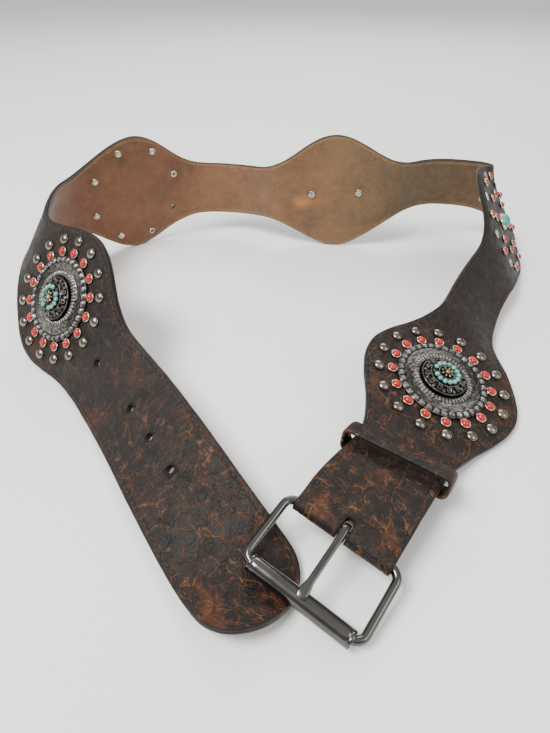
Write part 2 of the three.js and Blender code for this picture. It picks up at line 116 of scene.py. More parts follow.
# How the belt lies, as in the part: station, held, heading, slope, lean
ROUTE = (
    (-1, FOLD_STRAIGHT, 54, 6.5, 79),
    (-0.6, 0, 55, -13.5, 89),
    (0, CORAL_RING, 60, 4.6, 74),
    (0.35, 0, 64, 3.6, 53),
    (0.65, 0, 54, 12.3, 39),
    (1, 28, 77, 10.8, 33),
    (1.35, 0, 162, 3.1, 13),
    (1.5, 0, 183, 1.2, 14),
    (1.65, 0, 208, -3.4, 8),
    (2, CORAL_RING, 175, -3.7, 0),
    (2.35, 0, 143, -6.3, -1),
    (2.65, 0, 192, 4, -8),
    (3, 28, 216, 6.5, 5),
    (3.35, 0, 255, 5.8, 16),
    (3.65, 0, 280, -4.2, 34),
    (4, CORAL_RING, 305, -18.8, 38),
    (4.3, 0, 308, -8, 48),
    (4.55, 0, 303, -1.6, 61),
    (4.8, 0, 306, -9.1, 74),
    (5, 0, 320, 3.5, 111),
)


def lobe_centre(lobe):
    return STRAP_LENGTH + lobe * LOBE_PITCH


def length_at(station):
    if station < 0:
        return STRAP_LENGTH * (1 + station)
    if station <= LOBES - 1:
        return lobe_centre(station)
    return LAST_LOBE + (station - LOBES + 1) * BILLET_LENGTH


def smooth_curve(at, value):
    """A curve through the knots that never overshoots them."""
    at = np.array(at, float)
    value = np.array(value, float)
    gap = np.diff(at)
    rise = np.diff(value) / gap
    slope = np.zeros(len(at))
    slope[0] = rise[0]
    slope[-1] = rise[-1]
    for i in range(1, len(at) - 1):
        if rise[i - 1] * rise[i] > 0:
            before = 2 * gap[i] + gap[i - 1]
            after = gap[i] + 2 * gap[i - 1]
            slope[i] = (before + after) / (before / rise[i - 1] + after / rise[i])

    def read(places):
        places = np.clip(places, at[0], at[-1])
        i = np.clip(np.searchsorted(at, places) - 1, 0, len(gap) - 1)
        t = (places - at[i]) / gap[i]
        risen = t * t * (3 - 2 * t)
        bow = gap[i] * t * (1 - t) * ((1 - t) * slope[i] - t * slope[i + 1])
        return value[i] * (1 - risen) + value[i + 1] * risen + bow

    return read


def route_curve(column):
    at = []
    value = []
    for row in ROUTE:
        place = length_at(row[0])
        held = row[1]
        spots = [place] if held == 0 else [place - held, place + held]
        if place == 0:
            spots = [0, held]
        at += spots
        value += [math.radians(row[column])] * len(spots)
    return smooth_curve(at, value)


HEADING = route_curve(2)
SLOPE = route_curve(3)
LEAN = route_curve(4)


def directions(length):
    """Unit vectors along, across and out of the belt."""
    heading, slope, lean = HEADING(length), SLOPE(length), LEAN(length)
    zero = np.zeros_like(heading)
    along = np.stack([np.cos(slope) * np.cos(heading), np.cos(slope) * np.sin(heading), np.sin(slope)], -1)
    up = np.stack(
        [-np.sin(slope) * np.cos(heading), -np.sin(slope) * np.sin(heading), np.cos(slope) + zero], -1
    )
    side = np.cross(along, up)
    across = up * np.cos(lean)[..., None] - side * np.sin(lean)[..., None]
    return along, across, np.cross(along, across)


SPINE_STEPS = int(BELT_LENGTH)
SPINE = np.vstack([np.zeros(3), np.cumsum(directions(np.arange(SPINE_STEPS) + 0.5)[0], 0)])
SPINE_AT = np.arange(SPINE_STEPS + 1)


def on_belt(length, across, height):
    """Millimetre points on the bent belt for places on the flat pattern."""
    length, across, height = np.broadcast_arrays(np.asarray(length, float), across, height)
    held = np.clip(length, 0, BELT_LENGTH)
    along, side, out = directions(held)
    middle = np.stack([np.interp(held, SPINE_AT, SPINE[:, axis]) for axis in range(3)], -1)
    points = middle + along * (length - held)[..., None] + side * across[..., None] + out * height[..., None]
    return points + SHIFT


SHIFT = np.zeros(3)
HINGE = next(joint for joint in frame["record"]["behaviour"]["joints"] if joint["name"] == "frame_hinge")
SHIFT = np.array(HINGE["pos_m"]) / MM - on_belt(FOLD_OUTER, 0.0, BAR_HEIGHT)


def half_width(length):
    length = np.asarray(length, float)
    swell = np.zeros_like(length)
    for lobe in range(LOBES):
        share = np.clip(np.abs(length - lobe_centre(lobe)) / LOBE_HALF_LENGTH, 0, 1)
        swell = np.maximum(swell, (0.5 * (1 + np.cos(np.pi * share))) ** LOBE_FULLNESS)
    taper = np.clip((length - LAST_LOBE - TAPER_MARGIN) / (BILLET_LENGTH - 2 * TAPER_MARGIN), 0, 1)
    billet = BILLET_ROOT + (BILLET_TIP - BILLET_ROOT) * taper
    base = np.where(length < STRAP_LENGTH, STRAP_HALF_WIDTH, NECK_HALF_WIDTH)
    base = np.where(length > LAST_LOBE, billet, base)
    rounding = np.clip(1 - (BELT_LENGTH - length) / TIP_ROUNDING, 0, 0.999)
    tip = (1 - rounding ** TIP_SQUARENESS) ** (1 / TIP_SQUARENESS)
    return (base + (LOBE_HALF_WIDTH - base) * swell) * tip


class Pile:
    """Many small shapes gathered into one mesh, each with a material slot."""

    def __init__(self):
        self.points = []
        self.faces = []
        self.slots = []
        self.count = 0

    def add(self, points, faces, slot=0):
        self.points.append(np.asarray(points, float))
        self.faces += [tuple(corner + self.count for corner in face) for face in faces]
        self.slots += [slot] * len(faces)
        self.count += len(points)

    def make(self, name, body, materials, sharp=None):
        mesh = bpy.data.meshes.new(name)
        mesh.from_pydata((np.vstack(self.points) * MM).tolist(), [], self.faces)
        for material in materials:
            mesh.materials.append(material)
        mesh.polygons.foreach_set("material_index", self.slots)
        mesh.polygons.foreach_set("use_smooth", [True] * len(self.faces))
        if sharp:
            mesh.set_sharp_from_angle(angle=math.radians(sharp))
        mesh.update()
        piece = bpy.data.objects.new(name, mesh)
        bpy.context.scene.collection.objects.link(piece)
        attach(piece, body)
        return piece


def revolve(profile, sides, squash=1.0):
    """A turned shape about Z from rows of (radius, height), closed where they meet the axis."""
    points = []
    rings = []
    for radius, height in profile:
        if radius == 0:
            rings.append([len(points)])
            points.append((0, 0, height))
            continue
        rings.append(list(range(len(points), len(points) + sides)))
        for i in range(sides):
            angle = 2 * math.pi * i / sides
            points.append((radius * math.cos(angle), squash * radius * math.sin(angle), height))
    faces = []
    for low, high in zip(rings, rings[1:]):
        for i in range(sides):
            j = (i + 1) % sides
            if len(low) == 1:
                faces.append((low[0], high[j], high[i]))
            elif len(high) == 1:
                faces.append((low[i], low[j], high[0]))
            else:
                faces.append((low[i], low[j], high[j], high[i]))
    return np.array(points), faces


def tube(path, radius, sides, closed=False, up=(0, 0, 1)):
    """A round wire along a path."""
    path = np.asarray(path, float)
    radius = np.broadcast_to(radius, len(path))
    up = np.asarray(up, float)
    ahead = np.roll(path, -1, 0) - np.roll(path, 1, 0)
    if not closed:
        ahead[0] = path[1] - path[0]
        ahead[-1] = path[-1] - path[-2]
    ahead /= np.linalg.norm(ahead, axis=1)[:, None]
    side = np.cross(up, ahead)
    side /= np.linalg.norm(side, axis=1)[:, None]
    top = np.cross(ahead, side)
    points = []
    for i, middle in enumerate(path):
        for k in range(sides):
            angle = 2 * math.pi * k / sides
            points.append(middle + radius[i] * (math.cos(angle) * side[i] + math.sin(angle) * top[i]))
    faces = []
    rows = len(path)
    for i in range(rows if closed else rows - 1):
        for k in range(sides):
            a = i * sides + k
            b = i * sides + (k + 1) % sides
            c = (i + 1) % rows * sides + (k + 1) % sides
            d = (i + 1) % rows * sides + k
            faces.append((a, b, c, d))
    if not closed:
        faces.append(tuple(reversed(range(sides))))
        faces.append(tuple(range((rows - 1) * sides, rows * sides)))
    return np.array(points), faces


def ring_path(radius, steps, centre=(0, 0, 0)):
    angles = np.arange(steps) * 2 * math.pi / steps
    return np.stack([radius * np.cos(angles), radius * np.sin(angles), 0 * angles], -1) + np.array(centre)


def placed(points, origin, x, y, z):
    points = np.asarray(points, float)
    return origin + points[:, :1] * x + points[:, 1:2] * y + points[:, 2:3] * z


def seat_at(length, across, height):
    """Place and axes of a small rigid piece that sits on the belt."""
    origin = on_belt(length, across, height)
    x, y, z = directions(np.clip(length, 0, BELT_LENGTH))
    return origin, x, y, z


# Materials

def new_material(name, metallic=0.0, roughness=0.5, color=(0.5, 0.5, 0.5)):
    material = bpy.data.materials.new(name)
    material.use_nodes = True
    shader = material.node_tree.nodes["Principled BSDF"]
    shader.inputs["Metallic"].default_value = metallic
    shader.inputs["Roughness"].default_value = roughness
    shader.inputs["Base Color"].default_value = (*color, 1)
    material.diffuse_color = (*color, 1)
    return material


class Nodes:
    """Short calls for building a material's node tree."""

    def __init__(self, material):
        self.tree = material.node_tree
        self.shader = self.tree.nodes["Principled BSDF"]

    def link(self, source, target):
        self.tree.links.new(source, target)

    def flat(self):
        """Place on the flat pattern, in metres."""
        node = self.tree.nodes.new("ShaderNodeAttribute")
        node.attribute_name = "flat"
        return node.outputs["Vector"]

    def rim(self):
        """Distance from the edge of the leather, in centimetres."""
        node = self.tree.nodes.new("ShaderNodeAttribute")
        node.attribute_name = "rim"
        return node.outputs["Fac"]

    def place(self):
        return self.tree.nodes.new("ShaderNodeTexCoord").outputs["Object"]

    def part(self, vector, axis):
        node = self.tree.nodes.new("ShaderNodeSeparateXYZ")
        self.link(vector, node.inputs[0])
        return node.outputs[axis]

    def noise(self, vector, scale, detail=4.0, rough=0.6, distortion=0.0):
        node = self.tree.nodes.new("ShaderNodeTexNoise")
        node.inputs["Scale"].default_value = scale
        node.inputs["Detail"].default_value = detail
        node.inputs["Roughness"].default_value = rough
        node.inputs["Distortion"].default_value = distortion
        self.link(vector, node.inputs["Vector"])
        return node.outputs["Fac"]

    def warp(self, vector, scale, amount):
        """The vector, shaken by noise."""
        shake = self.tree.nodes.new("ShaderNodeTexNoise")
        shake.inputs["Scale"].default_value = scale
        self.link(vector, shake.inputs["Vector"])
        mix = self.tree.nodes.new("ShaderNodeVectorMath")
        mix.operation = "MULTIPLY_ADD"
        mix.inputs[1].default_value = (amount, amount, amount)
        self.link(shake.outputs["Color"], mix.inputs[0])
        self.link(vector, mix.inputs[2])
        return mix.outputs[0]

    def cells(self, vector, scale, feature="DISTANCE_TO_EDGE"):
        node = self.tree.nodes.new("ShaderNodeTexVoronoi")
        node.feature = feature
        node.inputs["Scale"].default_value = scale
        self.link(vector, node.inputs["Vector"])
        return node.outputs["Distance"]

    def ramp(self, value, *stops):
        """Colours or greys by position: stops are (position, colour or grey)."""
        node = self.tree.nodes.new("ShaderNodeValToRGB")
        elements = node.color_ramp.elements
        while len(elements) < len(stops):
            elements.new(0.5)
        for element, (position, color) in zip(elements, stops):
            element.position = position
            color = color if isinstance(color, tuple) else (color, color, color)
            element.color = (*color, 1)
        self.link(value, node.inputs[0])
        return node.outputs[0]

    def maths(self, operation, first, second):
        node = self.tree.nodes.new("ShaderNodeMath")
        node.operation = operation
        for value, socket in ((first, node.inputs[0]), (second, node.inputs[1])):
            if isinstance(value, (int, float)):
                socket.default_value = value
            else:
                self.link(value, socket)
        return node.outputs[0]

    def mix(self, share, first, second, blend="MIX"):
        node = self.tree.nodes.new("ShaderNodeMix")
        node.data_type = "RGBA"
        node.blend_type = blend
        for value, name in ((share, "Factor"), (first, "A"), (second, "B")):
            socket_type = "VALUE" if name == "Factor" else "RGBA"
            socket = next(s for s in node.inputs if s.name == name and s.type == socket_type)
            if isinstance(value, tuple):
                socket.default_value = (*value, 1)
            elif isinstance(value, (int, float)):
                socket.default_value = value
            else:
                self.link(value, socket)
        return next(s for s in node.outputs if s.type == "RGBA")

    def bump(self, height, distance, strength=1.0, below=None):
        node = self.tree.nodes.new("ShaderNodeBump")
        node.inputs["Distance"].default_value = distance
        node.inputs["Strength"].default_value = strength
        self.link(height, node.inputs["Height"])
        if below is not None:
            self.link(below, node.inputs["Normal"])
        return node.outputs["Normal"]


def dark_leather():
    material = new_material("dark_leather", roughness=0.5, color=(0.03, 0.02, 0.015))
    n = Nodes(material)
    flat = n.flat()
    length = n.maths("DIVIDE", n.part(flat, 0), BELT_LENGTH * MM)
    wear = n.ramp(n.noise(flat, 55, 6, 0.7), (0.44, 0.0), (0.64, 1.0))
    broken = n.ramp(n.noise(flat, 160, 5, 0.75), (0.44, 0.0), (0.6, 1.0))
    fine = n.ramp(n.cells(n.warp(flat, 110, 0.008), 420), (0.0, 1.0), (0.03, 0.5), (0.075, 0.0))
    medium = n.ramp(n.cells(n.warp(flat, 80, 0.012), 190), (0.0, 1.0), (0.016, 0.5), (0.045, 0.0))
    coarse = n.ramp(n.cells(n.warp(flat, 45, 0.022), 85), (0.0, 1.0), (0.012, 0.6), (0.03, 0.0))
    worn = n.ramp(
        length,
        (0.0, 1.0), (0.1, 0.85), (0.16, 0.35), (0.3, 0.2), (0.66, 0.2), (0.84, 0.4), (0.91, 0.75), (1.0, 1.0),
    )
    patches = n.ramp(n.noise(flat, 38, 7, 0.72, 0.5), (0.55, 0.0), (0.66, 1.0))
    mottle = n.ramp(n.noise(flat, 70, 6, 0.65), (0.36, 0.0), (0.68, 1.0))
    base = n.mix(mottle, (0.0035, 0.0028, 0.0026), (0.0125, 0.0072, 0.0048))
    # Painted sheen: a greyish highlight mixed into the colour near the last lobe and the billet, in place of
    # reflected light.
    sheen = n.ramp(length, (0.66, 0.0), (0.76, 0.7), (0.86, 0.35), (0.92, 0.0))
    grey = n.maths("MULTIPLY", sheen, n.ramp(n.noise(flat, 24, 4, 0.6), (0.42, 0.0), (0.66, 0.5)))
    color = n.mix(grey, base, (0.022, 0.021, 0.019))
    rust = n.maths("MULTIPLY", n.maths("MULTIPLY", patches, worn), 0.75)
    color = n.mix(rust, color, (0.085, 0.024, 0.006))
    nets = n.maths("MAXIMUM", n.maths("MULTIPLY", fine, wear), n.maths("MAXIMUM", medium, coarse))
    lines = n.maths("MULTIPLY", n.maths("MULTIPLY", nets, broken), worn)
    color = n.mix(n.maths("MULTIPLY", lines, 0.7), color, (0.22, 0.085, 0.028))
    scuffs = n.maths("MULTIPLY", n.ramp(n.rim(), (0.12, 0.0), (0.2, 1.0), (0.55, 0.0)), wear)
    color = n.mix(n.maths("MULTIPLY", scuffs, 0.35), color, (0.06, 0.026, 0.012))
    edge = n.ramp(n.rim(), (0.0, 0.95), (0.06, 0.6), (0.1, 0.0))
    color = n.mix(edge, color, (0.005, 0.004, 0.0035))
    n.link(color, n.shader.inputs["Base Color"])
    n.shader.inputs["Specular IOR Level"].default_value = 0.26
    n.link(n.ramp(n.noise(flat, 140, 5, 0.7), (0.3, 0.4), (0.7, 0.66)), n.shader.inputs["Roughness"])
    grain = n.bump(n.noise(flat, 1500, 3, 0.6), 0.00022, 0.6)
    folds = n.bump(n.noise(n.warp(flat, 30, 0.02), 200, 7, 0.68), 0.0011, 0.6, grain)
    n.link(n.bump(n.maths("SUBTRACT", 1.0, nets), 0.0003, 0.7, folds), n.shader.inputs["Normal"])
    return material


def suede():
    material = new_material("suede_lining", roughness=0.85, color=(0.2, 0.1, 0.05))
    n = Nodes(material)
    flat = n.flat()
    length = n.maths("DIVIDE", n.part(flat, 0), BELT_LENGTH * MM)
    tone = n.ramp(
        length,
        (0.0, (0.13, 0.075, 0.04)), (0.3, (0.12, 0.07, 0.035)), (0.40, (0.105, 0.075, 0.035)),
        (0.45, (0.17, 0.095, 0.045)), (0.52, (0.18, 0.088, 0.04)), (0.62, (0.165, 0.068, 0.036)),
        (0.7, (0.16, 0.065, 0.035)), (1.0, (0.13, 0.065, 0.035)),
    )
    shade = n.ramp(n.noise(flat, 30, 6, 0.6), (0.4, 0.0), (0.75, 0.75))
    mottled = n.mix(shade, tone, (0.065, 0.038, 0.021))
    streaks = n.ramp(n.noise(n.warp(flat, 40, 0.02), 170, 6, 0.7), (0.42, 0.0), (0.72, 0.35))
    color = n.mix(streaks, mottled, (0.26, 0.145, 0.07))
    border = n.ramp(n.rim(), (0.06, 0.0), (0.12, 0.5), (0.26, 0.4), (0.42, 0.0))
    ragged = n.maths("MULTIPLY", border, n.ramp(n.noise(flat, 120, 4, 0.6), (0.3, 0.2), (0.6, 1.0)))
    color = n.mix(ragged, color, (0.3, 0.165, 0.07))
    smear = n.warp(flat, 60, 0.009)
    from_middle = n.maths("ADD", n.part(smear, 1), (7 - 4.5) * MM)
    rub_across = n.maths("MULTIPLY", n.maths("ABSOLUTE", from_middle, 0.0), 100.0)
    from_screw = n.maths("SUBTRACT", n.part(smear, 0), (lobe_centre(2) + 4.5) * MM)
    rub_along = n.maths("MULTIPLY", from_screw, 20.0)
    rub = n.maths(
        "MULTIPLY",
        n.ramp(rub_along, (0.0, 0.0), (0.35, 0.35), (0.6, 1.0), (0.78, 0.0)),
        n.ramp(rub_across, (0.1, 1.0), (0.75, 0.0)),
    )
    color = n.mix(n.maths("MULTIPLY", rub, 0.7), color, (0.45, 0.19, 0.055))
    edge = n.ramp(n.rim(), (0.0, 1.0), (0.04, 0.9), (0.09, 0.0))
    color = n.mix(edge, color, (0.02, 0.013, 0.009))
    n.link(color, n.shader.inputs["Base Color"])
    n.shader.inputs["Specular IOR Level"].default_value = 0.25
    n.link(n.ramp(n.noise(flat, 100, 4), (0.3, 0.72), (0.7, 0.95)), n.shader.inputs["Roughness"])
    n.shader.inputs["Sheen Weight"].default_value = 0.25
    nap = n.bump(n.noise(flat, 1500, 4, 0.7), 0.00025, 0.7)
    n.link(n.bump(n.noise(n.warp(flat, 30, 0.02), 120, 6, 0.65), 0.0012, 0.5, nap), n.shader.inputs["Normal"])
    return material


def metal(name, bright, dark, roughness, scale=260.0, depth=0.00012, contrast=(0.38, 0.62)):
    """Worn metal: bright where rubbed, dark where tarnished."""
    material = new_material(name, metallic=1.0, roughness=roughness, color=bright)
    n = Nodes(material)
    place = n.place()
    tarnish = n.ramp(n.noise(place, scale, 6, 0.65), (contrast[0], 0.0), (contrast[1], 1.0))
    n.link(n.mix(tarnish, dark, bright), n.shader.inputs["Base Color"])
    rough = n.ramp(n.noise(place, scale * 2.5, 5, 0.7), (0.3, roughness * 0.8), (0.7, roughness * 1.3))
    n.link(rough, n.shader.inputs["Roughness"])
    n.link(n.bump(n.noise(place, scale * 3, 4, 0.6), depth, 0.6), n.shader.inputs["Normal"])
    return material


def silver():
    """Antique silver whose recesses are dark, read from the polish value kept with the mesh."""
    material = new_material("antique_silver", metallic=1.0, roughness=0.34, color=(0.55, 0.53, 0.49))
    n = Nodes(material)
    place = n.place()
    attribute = n.tree.nodes.new("ShaderNodeAttribute")
    attribute.attribute_name = "polish"
    spots = n.ramp(n.noise(place, 380, 7, 0.75), (0.36, 0.3), (0.64, 1.0))
    shine = n.maths("MULTIPLY", attribute.outputs["Fac"], spots)
    tone = n.ramp(
        shine,
        (0.06, (0.01, 0.009, 0.008)), (0.3, (0.07, 0.065, 0.058)),
        (0.6, (0.24, 0.23, 0.21)), (0.95, (0.6, 0.58, 0.54)),
    )
    n.link(tone, n.shader.inputs["Base Color"])
    n.link(n.ramp(shine, (0.2, 0.5), (0.8, 0.24)), n.shader.inputs["Roughness"])
    n.link(n.bump(n.noise(place, 700, 4, 0.6), 0.0001, 0.6), n.shader.inputs["Normal"])
    return material


def stone(name, color, deep, vein, roughness, unevenness):
    material = new_material(name, roughness=roughness, color=color)
    n = Nodes(material)
    place = n.place()
    body = n.mix(n.ramp(n.noise(place, 230, 5, 0.6), (0.35, 0.0), (0.65, 1.0)), color, deep)
    veins = n.ramp(n.cells(n.warp(place, 200, 0.004), 260), (0.0, 1.0), (0.03, 0.5), (0.07, 0.0))
    rare = n.ramp(n.noise(place, 150, 3), (0.48, 0.0), (0.6, 1.0))
    n.link(n.mix(n.maths("MULTIPLY", veins, rare), body, vein), n.shader.inputs["Base Color"])
    n.link(n.bump(n.noise(place, 500, 4), unevenness, 0.4), n.shader.inputs["Normal"])
    return material


def thread(name, dark, light):
    material = new_material(name, roughness=0.7, color=dark)
    n = Nodes(material)
    place = n.place()
    n.link(n.ramp(n.noise(place, 300, 4), (0.35, dark), (0.7, light)), n.shader.inputs["Base Color"])
    n.link(n.bump(n.noise(place, 2500, 2), 0.0001, 0.8), n.shader.inputs["Normal"])
    return material


LEATHER = dark_leather()
SUEDE = suede()
SILVER = silver()
STEEL = metal("bright_nickel", (0.6, 0.55, 0.45), (0.36, 0.32, 0.25), 0.22, 120, 0.00001)
DARK_NICKEL = metal("dark_nickel", (0.25, 0.23, 0.185), (0.15, 0.135, 0.105), 0.2, 90, 0.00001)
GUNMETAL = metal("gunmetal", (0.13, 0.125, 0.12), (0.085, 0.08, 0.074), 0.17, 50, 0.00001, (0.3, 0.7))
BRASS = metal("old_brass", (0.7, 0.45, 0.16), (0.25, 0.14, 0.05), 0.3)
CORAL_RED = stone("coral_red", (0.52, 0.012, 0.003), (0.36, 0.006, 0.002), (0.2, 0.004, 0.002), 0.16, 0.00001)
TURQUOISE = stone("turquoise", (0.06, 0.42, 0.35), (0.02, 0.27, 0.26), (0.03, 0.02, 0.012), 0.2, 0.00005)
PALE_TURQUOISE = stone(
    "pale_turquoise", (0.2, 0.46, 0.36), (0.05, 0.27, 0.23), (0.04, 0.06, 0.035), 0.3, 0.00006
)
THREAD = thread("waxed_thread", (0.008, 0.006, 0.005), (0.04, 0.024, 0.014))
TAN_THREAD = thread("tan_thread", (0.12, 0.065, 0.03), (0.26, 0.15, 0.07))


# Leather

EDGE_COLUMNS = ((0.25, 0.1), (0.8, 0.0), (2.1, 0.0), (2.65, 0.05), (3.0, 0.14), (3.35, 0.05), (4.2, 0.0))
MIDDLE_COLUMNS = 13
EDGE_MARGIN = 5.0
BACK_COLUMNS = 9
UNEVENNESS = 0.09


def cross_section(half):
    """Distance across and share of the thickness for each point round the leather's edge."""
    scale = min(1.0, half / 12)
    inner = max(half - EDGE_MARGIN * scale, 0.1)
    left = [(half - distance * scale, depth) for distance, depth in EDGE_COLUMNS]
    middle = [(inner * (1 - 2 * i / (MIDDLE_COLUMNS - 1)), 0.0) for i in range(MIDDLE_COLUMNS)]
    right = [(-across, depth) for across, depth in reversed(left)]
    back_half = half - 0.3 * scale
    back = [(-back_half * (1 - 2 * i / (BACK_COLUMNS - 1)), 1.0) for i in range(BACK_COLUMNS)]
    return [(half, 0.35)] + left + middle + right + [(-half, 0.35), (-half, 0.75)] + back + [(half, 0.75)]


def leather_strip(name, rows, material, seed):
    """A leather layer from rows of outer and inner (length, height) and half width."""
    points = []
    flat = []
    rim = []
    for (outer_at, outer_height), (inner_at, inner_height), half in rows:
        half = half + 0.18 * noise.noise(Vector((outer_at * 0.11, seed, outer_height)))
        section = cross_section(half)
        across = np.array([point[0] for point in section])
        depth = np.array([point[1] for point in section])
        for i, w in enumerate(across):
            wave = noise.noise(Vector((outer_at * 0.06, w * 0.06, seed)))
            fine = noise.noise(Vector((outer_at * 0.3, w * 0.3, seed)))
            depth[i] += UNEVENNESS * (wave + 0.5 * fine) * (1 - depth[i])
        outer = on_belt(outer_at, across, outer_height)
        inner = on_belt(inner_at, across, inner_height)
        points.append(outer * (1 - depth)[:, None] + inner * depth[:, None])
        flat += [(outer_at * MM, w * MM, seed * 0.1) for w in across]
        rim += [(half - abs(w)) * 0.1 for w in across]
    size = len(points[0])
    faces = []
    for row in range(len(rows) - 1):
        for k in range(size):
            a = row * size + k
            b = row * size + (k + 1) % size
            faces.append((a, b, b + size, a + size))
    faces.append(tuple(reversed(range(size))))
    faces.append(tuple(range((len(rows) - 1) * size, len(rows) * size)))
    pile = Pile()
    pile.add(np.vstack(points), faces)
    piece = pile.make(name, "root", [material])
    mesh = piece.data
    attribute = mesh.attributes.new("flat", "FLOAT_VECTOR", "POINT")
    attribute.data.foreach_set("vector", np.array(flat).ravel())
    attribute = mesh.attributes.new("rim", "FLOAT", "POINT")
    attribute.data.foreach_set("value", np.array(rim))
    return piece


def stations(start, end, step=2.4):
    body_end = BELT_LENGTH - TIP_ROUNDING
    body = list(np.linspace(start, body_end, int((body_end - start) / step)))
    tip_shares = np.linspace(0.06, 0.97, 14)
    tip = [BELT_LENGTH - TIP_ROUNDING * (1 - math.sin(share * math.pi / 2)) for share in tip_shares]
    return body + [min(at, end) for at in tip]


def face_rows():
    rows = []
    flap_top = FACE_BOTTOM - CLEARANCE
    foot = BAR_HEIGHT - FOLD_INNER
    flap_start = FLAP_CLOSING + FOLD_OUTER
    for at in np.linspace(FLAP_LENGTH, flap_start, 7)[:-1]:
        rows.append(((at, flap_top - FACE_THICKNESS), (at, flap_top), STRAP_HALF_WIDTH))
    for share in np.linspace(1, 0, 8)[:-1]:
        eased = share * share * (3 - 2 * share)
        at = FOLD_OUTER + (flap_start - FOLD_OUTER) * share
        top = foot + (flap_top - foot) * eased
        rows.append(((at, top - FACE_THICKNESS), (at, top), STRAP_HALF_WIDTH))
    for angle in np.linspace(math.pi, 0, 17)[:-1]:
        outer = (FOLD_OUTER - FOLD_OUTER * math.sin(angle), BAR_HEIGHT + FOLD_OUTER * math.cos(angle))
        inner = (FOLD_OUTER - FOLD_INNER * math.sin(angle), BAR_HEIGHT + FOLD_INNER * math.cos(angle))
        rows.append((outer, inner, STRAP_HALF_WIDTH))
    for at in stations(FOLD_OUTER, BELT_LENGTH):
        bottom = FACE_BOTTOM if at < FLAP_LENGTH else SEAM + HALF_SEAM
        rows.append(((at, FACE_TOP), (at, bottom), float(half_width(at))))
    return rows


def lining_rows():
    start = FLAP_LENGTH + CLEARANCE
    places = stations(start, BELT_LENGTH)
    return [((at, LINING_BOTTOM), (at, SEAM - HALF_SEAM), float(half_width(at))) for at in places]


def slot_cutter(pile):
    """The prong's slot, round at its end."""
    middle = FOLD_OUTER + SLOT_REACH - SLOT_HALF
    angles = np.linspace(-math.pi / 2, math.pi / 2, 11)
    outline = [(-6.0, SLOT_HALF), (-6.0, -SLOT_HALF)]
    outline += [(middle + SLOT_HALF * math.cos(a), SLOT_HALF * math.sin(a)) for a in angles]
    at = np.array([point[0] for point in outline])
    across = np.array([point[1] for point in outline])
    count = len(outline)
    faces = [tuple(range(count)), tuple(reversed(range(count, 2 * count)))]
    for i in range(count):
        j = (i + 1) % count
        faces.append((j, i, count + i, count + j))
    pile.add(np.vstack([on_belt(at, across, 16.0), on_belt(at, across, -16.0)]), faces)


def punch(piece, spots, slot=False):
    """Cut round holes, and the slot, through a leather layer."""
    pile = Pile()
    for length, across, radius in spots:
        points, faces = revolve([(0, -9), (radius, -9), (radius, 9), (0, 9)], 20)
        pile.add(placed(points, *seat_at(length, across, 0.0)), faces)
    if slot:
        slot_cutter(pile)
    mesh = bpy.data.meshes.new("punches")
    mesh.from_pydata((np.vstack(pile.points) * MM).tolist(), [], pile.faces)
    cutter = bpy.data.objects.new("punches", mesh)
    bpy.context.scene.collection.objects.link(cutter)
    modifier = piece.modifiers.new("punch", "BOOLEAN")
    modifier.object = cutter
    modifier.operation = "DIFFERENCE"
    modifier.solver = "EXACT"
    depsgraph = bpy.context.evaluated_depsgraph_get()
    result = bpy.data.meshes.new_from_object(piece.evaluated_get(depsgraph))
    piece.modifiers.clear()
    piece.data = result
    bpy.data.objects.remove(cutter)


def ring_spots(lobe, radius, count, turn=0.0):
    angles = [(i + turn) * 2 * math.pi / count for i in range(count)]
    return [(lobe_centre(lobe) + radius * math.cos(a), radius * math.sin(a)) for a in angles]


def missing_spot():
    lobe, index = MISSING_RIVET
    return ring_spots(lobe, OUTER_RING, 8, 0.5)[index]


prong_spots = [(LAST_LOBE + distance, 0.0, PRONG_HOLE) for distance in PRONG_HOLES]
eyelet_spots = [(*spot, 1.3) for lobe in FIELD_LOBES for spot in ring_spots(lobe, OUTER_RING, 8, 0.5)]

face = leather_strip("outer_leather", face_rows(), LEATHER, 3.7)
punch(face, prong_spots + eyelet_spots, slot=True)
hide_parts("face_leather")

lining = leather_strip("suede_lining", lining_rows(), SUEDE, 8.1)
punch(lining, prong_spots + [(*missing_spot(), 1.5)])
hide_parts("lining")


def stitches():
    """Waxed thread round the belt, in the groove near its edge."""
    pile = Pile()
    pitch = 3.9
    stitch = 2.9
    for side in (-1, 1):
        for i in range(int((BELT_LENGTH - 34) / pitch)):
            middle = 16 + i * pitch
            for height, sign in ((FACE_TOP - 0.12, 1), (LINING_BOTTOM + 0.12, -1)):
                if sign < 0 and middle < FLAP_LENGTH + 4:
                    continue
                spread = np.array([-0.5, -0.36, 0, 0.36, 0.5]) * stitch
                at = middle + spread
                across = side * (half_width(at) - 3.0)
                rise = sign * np.array([-0.35, 0.0, 0.14, 0.0, -0.35])
                path = on_belt(at, across, height + rise)
                out = directions(np.array([middle]))[2][0]
                pile.add(*tube(path, [0.24, 0.4, 0.43, 0.4, 0.24], 6, up=out), 0 if sign > 0 else 1)
    for i in range(12):
        across = (i - 5.5) * 3.9
        if abs(across) < SLOT_HALF:
            continue
        spread = np.array([-0.5, -0.36, 0, 0.36, 0.5]) * stitch
        path = on_belt(13.2, across + spread, FACE_TOP + np.array([-0.35, 0.0, 0.14, 0.0, -0.35]))
        out = directions(np.array([13.2]))[2][0]
        pile.add(*tube(path, [0.24, 0.4, 0.43, 0.4, 0.24], 6, up=out))
    piece = pile.make("stitches", "root", [THREAD, TAN_THREAD])


stitches()


